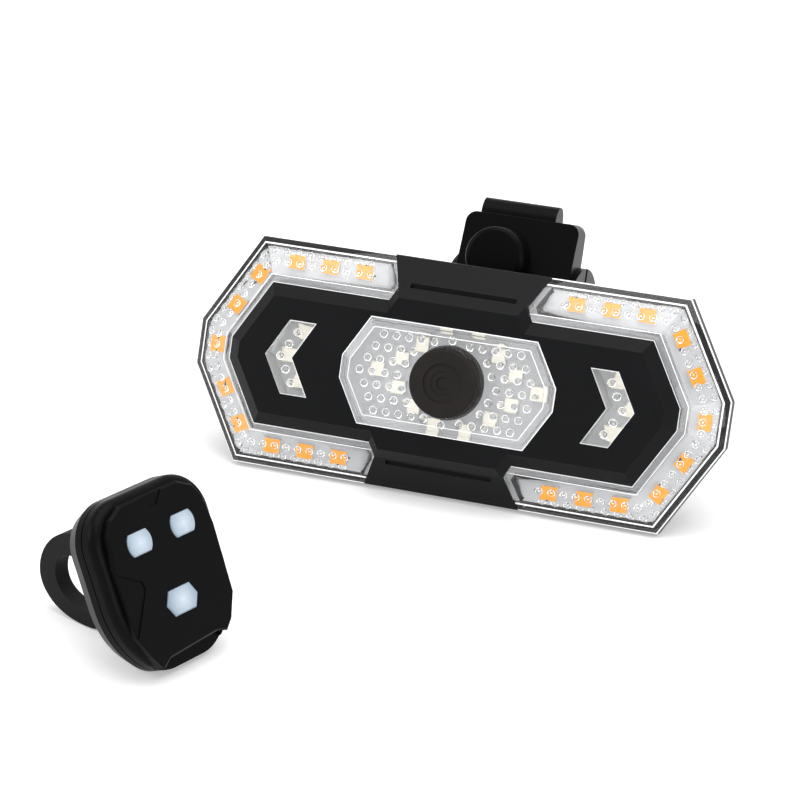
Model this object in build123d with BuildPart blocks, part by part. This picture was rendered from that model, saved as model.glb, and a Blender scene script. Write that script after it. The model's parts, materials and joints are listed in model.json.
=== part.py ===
from build123d import *
import os
from math import acos, atan2, cos, degrees, hypot, radians, sin, tan

os.makedirs("parts", exist_ok=True)

# A clamp-on bicycle turn signal light and its wireless remote, in millimetres.
# Each is built upright in a frame of its own: X to the right, Y from the flat front face to the back,
# Z up. The last section lays both on the table, as the set stands in the photograph.

# Light: outline and depths behind the flat front face
light_length = 110.0
light_height = 46.4
light_depth = 20.0
tip_height = 9.2
slant = radians(60)
wall = 1.6
fit_gap = 0.05
overrun = 1.0

plateau_inset = 11.45
border_inset = 9.0
border_depth = 2.4
crease_inset = 7.4
crease_depth = 3.3
lens_edge_inset = 1.4
lens_edge_depth = 7.2
rim_depth = 8.2
parting_depth = 10.4
rim_band = 1.0
rear_inset = 4.8

# Light: centre shoulder, sloping strips and their drain slots
shoulder_length = 37.0
shoulder_height = 30.2
shoulder_tip = 8.0
shoulder_bevel = 1.8
strip_rim_width = 32.2
strip_wall = 1.5
slot_length = 21.8
slot_width = 0.9
slot_cut = 0.8
slot_offset = 0.8

# Light: lenses
lens_wall = 1.2
center_length = 43.9
center_height = 21.5
center_tip = 4.6
center_proud = 0.7
center_bevel = 1.9
center_plate = 1.4
flange_width = 1.0
flange_thickness = 0.8
arrow_height = 14.9
arrow_band = 5.6
arrow_reach = 4.2
arrow_point = 37.9

# Light: board and lamps
board_depth = 8.4
board_thickness = 1.0
board_inset = 2.4
board_gap = 0.3
lamp_length = 3.5
lamp_width = 2.8
lamp_thickness = 0.8
lamp_inset = 4.7
wing_lamp_pitch = 7.15
wing_lamps_in_leg = 3
first_lamp = 21.9
slant_lamp_shares = (0.22, 0.67)
center_lamps = ((16.1, 0), (11.5, 2.8), (11.5, -2.8), (7.9, 6.0), (7.9, -6.0), (3.3, 9.0), (3.3, -9.0))
arrow_lamp_z = 4.6

# Light: power button and its switch
button_radius = 6.85
button_proud = 3.3
button_edge = 0.7
button_dishes = ((3.9, 0.3), (2.4, 0.45), (1.3, 0.7))
button_gap = 0.1
button_flange = 0.5
button_flange_depth = 0.9
button_travel = 0.6
stem_radius = 2.0
switch_size = 6.0
switch_height = 3.4
switch_pin_radius = 1.7
switch_pin_height = 0.9

# Light: screws, battery and charging port
screw_x = 36.0
screw_z = 10.3
screw_radius = 1.1
screw_head_radius = 2.0
screw_head_height = 1.3
boss_radius = 2.4
battery_length = 50.0
battery_height = 24.0
battery_thickness = 5.8
seal_inset = 0.5
seal_size = 0.8
port_x = 38.0
port_width = 9.0
port_height = 3.3
port_shell = 0.3
port_tongue = 0.7
port_mouth = 6.0
port_recess_width = 12.6
port_recess_height = 7.2
port_recess_depth = 0.9
flap_margin = 1.2
flap_thickness = 1.4
flap_gap = 0.1
flap_spine = 0.7

# Light: swivel and clamp band for a round post
swivel_radius = 10.0
swivel_plate = 2.0
swivel_gap = 0.2
foot_radius = 9.0
swivel_screw_radius = 2.0
swivel_head_radius = 3.5
swivel_head_height = 1.8
insert_radius = 3.2
running_gap = 0.08
post_radius = 13.6
liner_thickness = 1.6
band_thickness = 3.0
post_y = 42.0
post_z = 7.0
band_left = -10.0
band_right = 14.2
band_lip = 1.2
split_width = 1.5
ear_top = 33.9
ear_foot = 22.0
ear_front_y = 32.0
ear_lean = radians(15)
ear_corner = 2.2
clamp_screw_x = -1.0
clamp_screw_z = 25.2
clamp_screw_radius = 2.0
clamp_screw_gap = 0.15
rear_ear_width = 16.2
rear_ear_top = 37.0
rear_ear_thickness = 6.8
knob_radius = 6.2
knob_thickness = 3.4
knob_back_y = 30.0
knob_gap = 0.2
knob_edge = 1.1
nut_flats = 7.0
nut_thickness = 3.2
nut_sink = 1.2

# Remote: half outlines as (x, z) from the top to the bottom, origin on the front face
remote_top = 14.5
remote_half_width = 14.6
remote_shoulder = 8.0
remote_waist = -3.0
remote_bottom = -17.6
remote_hip = (9.8, -14.9)
remote_foot = (3.45, -17.6)
face_half = ((0, 13.2), (7.2, 13.2), (10.4, 11.6), (12.2, 8.9), (12.9, 3.5), (12.5, -9.3),
             (10.2, -13.6), (8.4, -15.2))
scoop_edge = ((8.4, -15.2), (5.8, -14.5), (-6.3, -15.1), (-8.4, -16.3))
facet_depth = 0.2
side_facet = ((14.0, 3.2), (7.6, -0.6), (7.3, -2.2), (12.1, -9.3), (11.8, -11.6), (15.0, -8.0))
top_facet = ((3.9, 14.0), (0.9, 10.8), (-0.9, 10.8), (-3.9, 14.0))
face_raise = 1.3
remote_parting = 4.4
remote_straight = 6.2
remote_depth = 9.2
remote_draw = 1.4
remote_wall = 1.2
scoop_depth = 2.9
remote_edge = 1.8
parting_groove = 0.25
face_edge = 0.4

# Remote: buttons, board, cell, screws and strap
key_x = 5.45
key_z = 5.8
key_width = 5.8
key_height = 4.0
low_key_z = -6.5
low_key_width = 7.7
low_key_flat = 5.2
low_key_height = 4.6
key_proud = 0.35
key_edge = 0.25
key_gap = 0.12
key_flange = 0.7
key_flange_thickness = 0.6
key_travel = 0.4
key_switch_size = 3.8
remote_board_thickness = 0.6
remote_board_margin = 0.3
cell_radius = 10.0
cell_thickness = 3.2
cell_z = -1.0
remote_screw_places = ((10.2, 9.0), (8.8, -12.0))
remote_screw_radius = 0.8
remote_head_radius = 1.3
remote_boss_radius = 1.7
remote_seal_size = 0.6
strap_width = 3.3
strap_pad_width = 9.0
strap_pad_thickness = 1.4
strap_outer = ((21.2, 8.5), (26.6, 8.2), (31.3, 4.9), (32.9, 1.2), (32.0, -2.9), (28.6, -6.7), (23.3, -9.4))
strap_low = (29.1, -7.1)
strap_inner = ((22.9, 4.4), (27.9, 3.2), (28.9, -0.4), (26.6, -4.1), (23.0, -6.0))
strap_root_top = 7.6
strap_root_bottom = -11.6
strap_hole_top = 4.6
strap_hole_bottom = -8.0

# Where the remote stands beside the light on the table
remote_x = -24.95
remote_y = -84.15
remote_turn = 69.4


def face_plane(depth):
    """Upright plane that looks to the front, at a depth behind the flat face."""
    return Plane(origin=(0, depth, 0), x_dir=(1, 0, 0), z_dir=(0, -1, 0))


def push(sketch, length, mode=Mode.ADD):
    """Prism from a sketch on a face plane, running back by a length."""
    extrude(sketch, amount=-length, mode=mode)


def polygon(points, depth, grow=0):
    """Filled outline through (x, z) points on a face plane, grown or drawn in all round."""
    with BuildSketch(face_plane(depth)) as drawn:
        with BuildLine():
            Polyline(*points, close=True)
        make_face()
        if grow:
            offset(amount=grow, kind=Kind.INTERSECTION)
    return drawn.sketch


def rounds(depth, radius, places=((0, 0),)):
    """Discs of one radius at (x, z) places on a face plane."""
    with BuildSketch(face_plane(depth)) as drawn:
        with Locations(*places):
            Circle(radius)
    return drawn.sketch


def blocks(depth, width, height, places=((0, 0),)):
    """Rectangles of one size at (x, z) places on a face plane."""
    with BuildSketch(face_plane(depth)) as drawn:
        with Locations(*places):
            Rectangle(width, height)
    return drawn.sketch


def gem_points(length, height, tip, inset=0):
    """Corners of an eight-sided outline with upright tips, level long sides and slants between."""
    half_length = length / 2 - inset
    half_height = height / 2 - inset
    half_tip = tip / 2 - inset * (1 - sin(slant)) / cos(slant)
    corner = half_length - (half_height - half_tip) / tan(slant)
    upper = [(half_length, half_tip), (corner, half_height), (-corner, half_height), (-half_length, half_tip)]
    return upper + [(x, -z) for x, z in reversed(upper)]


def gem(depth, inset=0):
    """Outline of the light on a face plane, drawn in by an inset."""
    return polygon(gem_points(light_length, light_height, tip_height, inset), depth)


def shoulder(depth, inset=0):
    """Outline of the raised centre between the wings."""
    return polygon(gem_points(shoulder_length, shoulder_height, shoulder_tip, inset), depth)


def center_window(depth, inset=0):
    """Outline of the centre lens."""
    return polygon(gem_points(center_length, center_height, center_tip, inset), depth)


def arrow(depth, grow=0):
    """Outline of the right-hand arrow window, a chevron that points to the right."""
    back = arrow_point - arrow_band - arrow_reach
    half = arrow_height / 2
    points = [(back, half), (back + arrow_band, half), (arrow_point, 0), (back + arrow_band, -half),
              (back, -half), (arrow_point - arrow_band - fit_gap, 0)]
    return polygon(points, depth, grow)


def both_arrows(depth, grow=0):
    """Outlines of the two arrow windows."""
    right = arrow(depth, grow)
    return right + mirror(right, about=Plane.YZ, mode=Mode.PRIVATE)


# Places that several pieces share
board_back = board_depth + board_thickness
band_depth = parting_depth + rim_band
inner_rear = light_depth - wall
screw_places = [(sx * screw_x, sz * screw_z) for sx in (-1, 1) for sz in (-1, 1)]
neck_x, neck_z = gem_points(shoulder_length, shoulder_height, shoulder_tip, -shoulder_bevel)[1]
border_half = light_height / 2 - border_inset
band_inner = post_radius + liner_thickness
band_outer = band_inner + band_thickness
ear_top_y = ear_front_y + (ear_top - ear_foot) * tan(ear_lean)
rear_ear_back = post_y + split_width / 2 + rear_ear_thickness
swivel_face = light_depth + swivel_plate
swivel_axis = [(0, post_z)]
shoulder_depth = border_depth


def strip_half(height):
    """Half width of a centre strip at a height: narrow at the neck, wider towards the rim."""
    flare = (strip_rim_width / 2 - neck_x) / (light_height / 2 - neck_z)
    return neck_x + flare * (height - neck_z)


def center_plan(depth, grow=0):
    """Plan of the black centre between the wing lenses: narrow at the neck, wider to the rim."""
    root = neck_x + (neck_z - border_half) / tan(slant)
    past_rim = light_height / 2 + overrun
    right = [(strip_half(past_rim), past_rim), (neck_x, neck_z), (root, border_half)]
    side = right + [(x, -z) for x, z in reversed(right)]
    return polygon(side + [(-x, z) for x, z in reversed(side)], depth, grow)


def strip_section(height, width, front, back):
    """Level section through a centre strip."""
    with BuildSketch(Plane.XY.offset(height)) as drawn:
        with Locations((0, (front + back) / 2)):
            Rectangle(width, back - front)
    return drawn.sketch


def lamps(places, width, height):
    """Surface-mounted lamps on the front of the board."""
    with BuildPart() as group:
        push(blocks(board_depth - lamp_thickness, width, height, places), lamp_thickness)
    return group


# Front cover: flat plateau with bevelled border, raised centre and two sloping strips with slots
strip_slope = (lens_edge_depth - shoulder_depth) / (light_height / 2 - neck_z - (rim_depth - lens_edge_depth))
lens_edge_z = light_height / 2 - (rim_depth - lens_edge_depth)
pocket_top = light_height / 2 - wall
slot_z = neck_z + slot_offset
with BuildPart() as front_cover:
    loft([strip_section(neck_z, 2 * neck_x, shoulder_depth, parting_depth),
          strip_section(lens_edge_z, 2 * strip_half(lens_edge_z), lens_edge_depth, parting_depth),
          strip_section(light_height / 2, strip_rim_width, rim_depth, parting_depth)], ruled=True)
    pocket_width = 2 * (neck_x - strip_wall)
    pocket_back = parting_depth + overrun
    loft([strip_section(neck_z, pocket_width, shoulder_depth + 2 * strip_wall, pocket_back),
          strip_section(pocket_top, pocket_width, lens_edge_depth + strip_wall, pocket_back)], ruled=True,
         mode=Mode.SUBTRACT)
    slot_floor = shoulder_depth + strip_slope * slot_offset + slot_cut
    with Locations((0, slot_floor / 2, slot_z)):
        Box(slot_length, slot_floor, slot_width, mode=Mode.SUBTRACT)
    mirror(about=Plane.XY)
    loft([gem(0, plateau_inset), gem(border_depth, border_inset)], ruled=True)
    push(gem(border_depth, border_inset), board_depth - border_depth)
    loft([shoulder(0), shoulder(shoulder_depth, -shoulder_bevel)], ruled=True)
    push(shoulder(shoulder_depth, -shoulder_bevel), board_depth - shoulder_depth)
    push(gem(wall, border_inset + wall), board_depth, Mode.SUBTRACT)
    push(shoulder(wall, wall - shoulder_bevel), board_depth, Mode.SUBTRACT)
    push(gem(board_depth, board_inset - board_gap), parting_depth, Mode.SUBTRACT)
    push(rounds(wall, boss_radius, screw_places), board_depth - wall)
    push(rounds(wall + overrun, screw_radius + fit_gap, screw_places), board_depth, Mode.SUBTRACT)
    push(center_window(-overrun, -fit_gap), wall + 2 * overrun, Mode.SUBTRACT)
    push(both_arrows(-overrun, fit_gap), wall + 2 * overrun, Mode.SUBTRACT)
front_cover.part.label = "front_cover"

# Wing lenses: clear C-shaped shells with an outer wall, a sloping face and an inner step at the border
with BuildPart() as lens_hollow:
    loft([gem(parting_depth + overrun, lens_wall), gem(rim_depth + lens_wall, lens_wall),
          gem(lens_edge_depth + lens_wall, lens_edge_inset + lens_wall / 2),
          gem(crease_depth + lens_wall, crease_inset), gem(border_depth + lens_wall, border_inset)],
         ruled=True)
    push(gem(0, border_inset - lens_wall), light_depth, Mode.SUBTRACT)
    push(center_plan(0, lens_wall), light_depth, Mode.SUBTRACT)

with BuildPart() as lens_right:
    loft([gem(parting_depth), gem(rim_depth), gem(lens_edge_depth, lens_edge_inset),
          gem(crease_depth, crease_inset), gem(border_depth, border_inset)], ruled=True)
    add(lens_hollow.part, mode=Mode.SUBTRACT)
    push(gem(0, border_inset - fit_gap), light_depth, Mode.SUBTRACT)
    push(center_plan(0, fit_gap), light_depth, Mode.SUBTRACT)
    push(gem(board_depth, board_inset - board_gap), light_depth, Mode.SUBTRACT)
    split(bisect_by=Plane.YZ, keep=Keep.TOP)
lens_right.part.label = "lens_right"

with BuildPart() as lens_left:
    mirror(lens_right.part, about=Plane.YZ)
lens_left.part.label = "lens_left"

# Centre lens: clear plate in a flanged frame, with the hole for the power button
with BuildPart() as center_lens:
    loft([center_window(-center_proud, -center_bevel), center_window(0)], ruled=True)
    push(center_window(0), wall)
    push(center_window(wall, -flange_width), flange_thickness)
    push(center_window(center_plate - center_proud, flange_width), light_depth, Mode.SUBTRACT)
    push(rounds(-light_depth, button_radius + button_gap), 2 * light_depth, Mode.SUBTRACT)
center_lens.part.label = "center_lens"

# Arrow windows: clear chevrons, each with a flange behind the cover
with BuildPart() as arrow_lens_right:
    push(arrow(0), wall)
    push(arrow(wall, flange_width), flange_thickness)
arrow_lens_right.part.label = "arrow_lens_right"

with BuildPart() as arrow_lens_left:
    mirror(arrow_lens_right.part, about=Plane.YZ)
arrow_lens_left.part.label = "arrow_lens_left"

# Light shield: one white moulding with a well for the centre lens and one for each arrow
shield_front = wall + flange_thickness
shield_wall = flange_width
with BuildPart() as light_shield:
    push(gem(board_depth - shield_wall, border_inset + wall + board_gap), shield_wall)
    push(center_window(shield_front, -shield_wall), board_depth - shield_front)
    push(both_arrows(shield_front, shield_wall), board_depth - shield_front)
    push(center_window(0), light_depth, Mode.SUBTRACT)
    push(both_arrows(0), light_depth, Mode.SUBTRACT)
    push(rounds(0, boss_radius + board_gap, screw_places), light_depth, Mode.SUBTRACT)
light_shield.part.label = "light_shield"

# Main board, with holes for the four housing screws
with BuildPart() as main_board:
    push(gem(board_depth, board_inset), board_thickness)
    push(rounds(board_depth - overrun, screw_radius + board_gap, screw_places), light_depth, Mode.SUBTRACT)
main_board.part.label = "main_board"

# Amber lamps: three in each leg, two on each slant and one in the tip of a wing
lamp_line = gem_points(light_length, light_height, tip_height, lamp_inset)
lamp_tip, lamp_corner = lamp_line[0], lamp_line[1]
with BuildPart() as turn_leds_right:
    leg = [(first_lamp + i * wing_lamp_pitch, side * lamp_corner[1])
           for i in range(wing_lamps_in_leg) for side in (-1, 1)]
    push(blocks(board_depth - lamp_thickness, lamp_length, lamp_width, leg), lamp_thickness)
    push(blocks(board_depth - lamp_thickness, lamp_width, lamp_length, [(lamp_tip[0], 0)]), lamp_thickness)
    for side in (-1, 1):
        for share in slant_lamp_shares:
            x = lamp_corner[0] + share * (lamp_tip[0] - lamp_corner[0])
            z = lamp_corner[1] + share * (lamp_tip[1] - lamp_corner[1])
            with BuildSketch(face_plane(board_depth - lamp_thickness)) as lamp:
                with Locations(Location((x, side * z), -side * degrees(slant))):
                    Rectangle(lamp_length, lamp_width)
            push(lamp.sketch, lamp_thickness)
turn_leds_right.part.label = "turn_leds_right"

with BuildPart() as turn_leds_left:
    mirror(turn_leds_right.part, about=Plane.YZ)
turn_leds_left.part.label = "turn_leds_left"

center_leds = lamps([(side * x, z) for x, z in center_lamps for side in (-1, 1)], lamp_width, lamp_width)
center_leds.part.label = "center_leds"

arrow_lamps = [(side * (arrow_point - arrow_band / 2 - arrow_reach * abs(z) / (arrow_height / 2)), z)
               for z in (-arrow_lamp_z, 0, arrow_lamp_z) for side in (-1, 1)]
arrow_leds = lamps(arrow_lamps, lamp_width, lamp_width)
arrow_leds.part.label = "arrow_leds"

# Power button: cap dished in three steps, a flange behind the centre lens and a stem to the switch
switch_top = board_depth - switch_height - switch_pin_height
flange_front = center_plate - center_proud + button_gap
with BuildPart() as power_button:
    push(rounds(-button_proud, button_radius), button_proud + flange_front)
    fillet(power_button.edges().filter_by(GeomType.CIRCLE).sort_by(Axis.Y)[0], radius=button_edge)
    push(rounds(flange_front, button_radius + button_flange), button_flange_depth)
    stem_front = flange_front + button_flange_depth
    push(rounds(stem_front, stem_radius), switch_top - button_travel - button_gap - stem_front)
    for dish_radius, dish_depth in button_dishes:
        push(rounds(-button_proud, dish_radius), dish_depth, Mode.SUBTRACT)
power_button.part.label = "power_button"

# Power switch: square tact switch with a round pin
with BuildPart() as power_switch:
    push(blocks(board_depth - switch_height, switch_size, switch_size), switch_height)
    push(rounds(switch_top, switch_pin_radius), switch_pin_height)
power_switch.part.label = "power_switch"

# Housing seal: rubber ring in the groove of the rim
with BuildPart() as housing_seal:
    push(gem(parting_depth, seal_inset), seal_size)
    push(gem(parting_depth, seal_inset + seal_size), seal_size, Mode.SUBTRACT)
housing_seal.part.label = "housing_seal"

# Rear housing: shell with a straight rim band, drawn in to the back, with screw pillars and swivel plate
port_places = [(port_x, 0)]
port_end = light_depth - port_recess_depth
with BuildPart() as rear_housing:
    loft([gem(parting_depth), gem(band_depth), gem(light_depth, rear_inset)], ruled=True)
    loft([gem(parting_depth, wall), gem(band_depth, wall), gem(inner_rear, rear_inset + wall)], ruled=True,
         mode=Mode.SUBTRACT)
    push(rounds(board_back, boss_radius, screw_places), inner_rear - board_back)
    push(rounds(light_depth, swivel_radius, swivel_axis), swivel_plate)
    push(rounds(board_back, screw_radius + fit_gap, screw_places), light_depth, Mode.SUBTRACT)
    push(rounds(light_depth - screw_head_height, screw_head_radius + fit_gap, screw_places), light_depth,
         Mode.SUBTRACT)
    push(rounds(inner_rear, insert_radius, swivel_axis), light_depth, Mode.SUBTRACT)
    push(blocks(port_end, port_recess_width, port_recess_height, port_places), light_depth, Mode.SUBTRACT)
    push(blocks(parting_depth, port_width + 2 * board_gap, port_height + 2 * board_gap, port_places),
         light_depth, Mode.SUBTRACT)
    add(housing_seal.part, mode=Mode.SUBTRACT)
rear_housing.part.label = "rear_housing"

# Housing screws: four pan heads sunk in the back
screw_tip = wall + 2 * overrun
with BuildPart() as housing_screws:
    push(rounds(screw_tip, screw_radius, screw_places), light_depth - screw_head_height - screw_tip)
    push(rounds(light_depth - screw_head_height, screw_head_radius, screw_places), screw_head_height)
housing_screws.part.label = "housing_screws"

# Battery: flat pouch cell on the floor of the rear housing
with BuildPart() as battery:
    push(blocks(inner_rear - battery_thickness, battery_length, battery_height), battery_thickness)
    fillet(battery.edges().filter_by(Axis.X), radius=battery_thickness / 4)
battery.part.label = "battery"

# Charging socket: metal shell with a flat tongue
with BuildPart() as usb_socket:
    push(blocks(board_back, port_width, port_height, port_places), port_end - board_back)
    fillet(usb_socket.edges().filter_by(Axis.Y), radius=port_height / 3)
    mouth_width = port_width - 2 * port_shell
    mouth_height = port_height - 2 * port_shell
    push(blocks(port_end - port_mouth, mouth_width, mouth_height, port_places), port_mouth, Mode.SUBTRACT)
    push(blocks(port_end - port_mouth, port_width - 4 * port_tongue, port_tongue, port_places),
         port_mouth - port_tongue)
usb_socket.part.label = "usb_socket"

# Rubber cover of the socket: plate and plug that swing on a round spine on the outer side of the port
flap_width = port_recess_width + 2 * flap_margin
flap_height = port_recess_height + 2 * flap_margin
flap_front = light_depth + flap_gap
hinge_x = port_x + flap_width / 2 + flap_spine
hinge_y = flap_front + flap_spine
with BuildPart() as usb_cover:
    push(blocks(flap_front, flap_width + flap_spine, flap_height, [(port_x + flap_spine / 2, 0)]),
         flap_thickness)
    push(blocks(flap_front - port_recess_depth / 2 - flap_gap, port_recess_width - 2 * board_gap,
                port_recess_height - 2 * board_gap, port_places), port_recess_depth / 2 + flap_gap)
    with Locations((hinge_x, hinge_y, 0)):
        Cylinder(flap_spine, flap_height)
usb_cover.part.label = "usb_cover"

# Swivel: threaded insert in the housing and the screw that holds the clamp to it
swivel_seat = post_y - band_inner - swivel_head_height - fit_gap
swivel_tip = inner_rear + fit_gap
with BuildPart() as swivel_insert:
    push(rounds(swivel_tip, insert_radius - fit_gap, swivel_axis), swivel_face - swivel_tip)
    push(rounds(inner_rear, swivel_screw_radius + fit_gap, swivel_axis), light_depth, Mode.SUBTRACT)
swivel_insert.part.label = "swivel_insert"

with BuildPart() as swivel_screw:
    push(rounds(swivel_tip, swivel_screw_radius, swivel_axis), swivel_seat + running_gap - swivel_tip)
    push(rounds(swivel_seat + running_gap, swivel_head_radius, swivel_axis),
         swivel_head_height - running_gap)
swivel_screw.part.label = "swivel_screw"


def on_side(points):
    """Filled outline through (y, z) points, seen from the side."""
    with BuildSketch(Plane.YZ) as drawn:
        with BuildLine():
            Polyline(*points, close=True)
        make_face()
    return drawn.sketch


def side_disc(radius):
    """Disc round the axis of the post, seen from the side."""
    with BuildSketch(Plane.YZ) as drawn:
        with Locations((post_y, post_z)):
            Circle(radius)
    return drawn.sketch


def along_post(sketch, left, right, mode=Mode.ADD):
    """Prism along the post from a side view, between two places across the light."""
    extrude(sketch.moved(Location((left, 0, 0))), amount=right - left, dir=(1, 0, 0), mode=mode)


def nut_outline(depth, grow=0):
    """Hexagon of the clamp nut on a face plane."""
    with BuildSketch(face_plane(depth)) as drawn:
        with Locations((clamp_screw_x, clamp_screw_z)):
            RegularPolygon(nut_flats / 2 + grow, side_count=6, major_radius=False)
    return drawn.sketch


# Clamp band: one-piece ring with a swivel foot, a broad front ear and a narrow, taller rear ear
front_ear_back = post_y - split_width / 2
rear_ear_front = post_y + split_width / 2
rear_left = clamp_screw_x - rear_ear_width / 2
rear_right = clamp_screw_x + rear_ear_width / 2
bar_radius = rear_ear_thickness / 2
knob_boss_front = knob_back_y + knob_gap
nut_seat = rear_ear_back - nut_sink
clamp_axis = [(clamp_screw_x, clamp_screw_z)]
split_points = [(front_ear_back, post_z), (front_ear_back, rear_ear_top), (rear_ear_front, rear_ear_top),
                (rear_ear_front, post_z)]
with BuildPart() as clamp_band:
    along_post(on_side([(ear_front_y, ear_foot), (ear_top_y, ear_top), (front_ear_back, ear_top),
                        (front_ear_back, post_z + band_inner)]), band_left, band_right)
    fillet(clamp_band.edges().filter_by(Axis.Y).group_by(Axis.Z)[-1], radius=ear_corner)
    along_post(side_disc(band_outer), band_left - band_lip, band_right + band_lip)
    along_post(on_side([(rear_ear_front, post_z), (rear_ear_front, rear_ear_top - bar_radius),
                        (rear_ear_back, rear_ear_top - bar_radius), (rear_ear_back, post_z)]),
               rear_left, rear_right)
    with Locations(Location((clamp_screw_x, (rear_ear_front + rear_ear_back) / 2, rear_ear_top - bar_radius),
                            (0, 90, 0))):
        Cylinder(bar_radius, rear_ear_width)
    push(rounds(knob_boss_front, knob_radius, clamp_axis), front_ear_back - knob_boss_front)
    push(rounds(swivel_face + swivel_gap, foot_radius, swivel_axis), post_y - band_inner - swivel_face)
    along_post(side_disc(band_inner), band_left - band_lip, band_right + band_lip, Mode.SUBTRACT)
    push(rounds(knob_back_y - light_depth, knob_radius + knob_gap, clamp_axis), light_depth + knob_gap,
         Mode.SUBTRACT)
    along_post(on_side(split_points), band_left - 2 * band_lip, band_right + 2 * band_lip, Mode.SUBTRACT)
    push(rounds(knob_back_y, clamp_screw_radius + clamp_screw_gap, clamp_axis), post_y, Mode.SUBTRACT)
    push(rounds(light_depth, swivel_screw_radius + running_gap, swivel_axis), post_y - light_depth,
         Mode.SUBTRACT)
    push(rounds(swivel_seat, swivel_head_radius + running_gap, swivel_axis), post_y - swivel_seat,
         Mode.SUBTRACT)
    push(nut_outline(nut_seat, fit_gap), post_y, Mode.SUBTRACT)
clamp_band.part.label = "clamp_band"

# Rubber liner: split ring inside the band
with BuildPart() as rubber_liner:
    along_post(side_disc(band_inner), band_left - band_lip, band_right + band_lip)
    along_post(side_disc(post_radius), band_left - 2 * band_lip, band_right + 2 * band_lip, Mode.SUBTRACT)
    along_post(on_side(split_points), band_left - 2 * band_lip, band_right + 2 * band_lip, Mode.SUBTRACT)
rubber_liner.part.label = "rubber_liner"

# Clamp knob: round thumb nut with a rounded front edge
knob_front = knob_back_y - knob_thickness
thread_front = knob_front + knob_thickness / 2
with BuildPart() as clamp_knob:
    push(rounds(knob_front, knob_radius, clamp_axis), knob_thickness)
    fillet(clamp_knob.edges().filter_by(GeomType.CIRCLE).sort_by(Axis.Y)[0], radius=knob_edge)
    push(rounds(thread_front, clamp_screw_radius, clamp_axis), knob_thickness, Mode.SUBTRACT)
clamp_knob.part.label = "clamp_knob"

# Clamp screw and its captive nut in the back of the rear ear
with BuildPart() as clamp_screw:
    push(rounds(thread_front, clamp_screw_radius, clamp_axis),
         nut_seat + nut_thickness + overrun - thread_front)
clamp_screw.part.label = "clamp_screw"

with BuildPart() as clamp_nut:
    push(nut_outline(nut_seat), nut_thickness)
    push(rounds(nut_seat, clamp_screw_radius + running_gap, clamp_axis), nut_thickness, Mode.SUBTRACT)
clamp_nut.part.label = "clamp_nut"


def remote_outline(depth, grow=0):
    """Outline of the remote's shells: flat top, round shoulders, and sides that curve in to the bottom."""
    waist = (remote_half_width, remote_waist)
    with BuildSketch(face_plane(depth)) as drawn:
        with BuildLine():
            Line((0, remote_top), (remote_half_width - remote_shoulder, remote_top))
            TangentArc((remote_half_width - remote_shoulder, remote_top),
                       (remote_half_width, remote_top - remote_shoulder), tangent=(1, 0))
            Line((remote_half_width, remote_top - remote_shoulder), waist)
            flank = TangentArc(waist, remote_hip, tangent=(0, -1))
            TangentArc(flank @ 1, remote_foot, tangent=flank % 1)
            Line(remote_foot, (0, remote_bottom))
            mirror(about=Plane.YZ)
        make_face()
        if grow:
            offset(amount=grow)
    return drawn.sketch


def key_outline(depth, grow=0):
    """The two upper buttons: rounds with flat tops and bottoms."""
    with BuildSketch(face_plane(depth)) as drawn:
        with Locations((-key_x, key_z), (key_x, key_z)):
            Circle(key_width / 2 + grow)
        with Locations((0, key_z)):
            Rectangle(2 * key_x + 2 * key_width, key_height + 2 * grow, mode=Mode.INTERSECT)
    return drawn.sketch


def low_key_outline(depth, grow=0):
    """The lower button: a flat hexagon."""
    half = low_key_height / 2
    points = [(low_key_width / 2, low_key_z), (low_key_flat / 2, low_key_z + half),
              (-low_key_flat / 2, low_key_z + half), (-low_key_width / 2, low_key_z),
              (-low_key_flat / 2, low_key_z - half), (low_key_flat / 2, low_key_z - half)]
    return polygon(points, depth, grow)


def on_one_side(sketch, side):
    """The part of a pair sketch on one side of the middle: -1 left, 1 right."""
    return Sketch() + [face for face in sketch.faces() if face.center().X * side > 0]


# Remote front cover: raised face with sunk facets over a rounded shell, scooped out at the bottom
remote_places = [(side * x, z) for x, z in remote_screw_places for side in (-1, 1)]
face_points = list(face_half) + list(scoop_edge[1:]) + [(-x, z) for x, z in reversed(face_half[1:-1])]
scoop_end = 2 * remote_bottom
scoop = list(scoop_edge) + [(scoop_edge[-1][0], scoop_end), (scoop_edge[0][0], scoop_end)]
with BuildPart() as remote_front_cover:
    push(remote_outline(face_raise), remote_parting - face_raise)
    fillet(remote_front_cover.faces().sort_by(Axis.Y)[0].edges(), radius=remote_edge)
    push(polygon(face_points, 0), face_raise + remote_edge)
    chamfer(remote_front_cover.faces().sort_by(Axis.Y)[0].edges(), length=face_edge)
    push(polygon(side_facet, -overrun), overrun + facet_depth, Mode.SUBTRACT)
    push(polygon([(-x, z) for x, z in reversed(side_facet)], -overrun), overrun + facet_depth, Mode.SUBTRACT)
    push(polygon(top_facet, -overrun), overrun + facet_depth, Mode.SUBTRACT)
    push(polygon(scoop, -overrun), scoop_depth + overrun, Mode.SUBTRACT)
    push(remote_outline(scoop_depth + remote_wall, -remote_wall), remote_parting, Mode.SUBTRACT)
    push(polygon(face_points, remote_wall, -remote_wall), remote_parting, Mode.SUBTRACT)
    push(rounds(remote_wall, remote_boss_radius, remote_places), remote_parting - remote_wall)
    push(rounds(2 * remote_wall, remote_screw_radius + fit_gap, remote_places), remote_parting, Mode.SUBTRACT)
    push(key_outline(-overrun, key_gap), remote_wall + 2 * overrun, Mode.SUBTRACT)
    push(low_key_outline(-overrun, key_gap), remote_wall + 2 * overrun, Mode.SUBTRACT)
remote_front_cover.part.label = "remote_front_cover"

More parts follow.
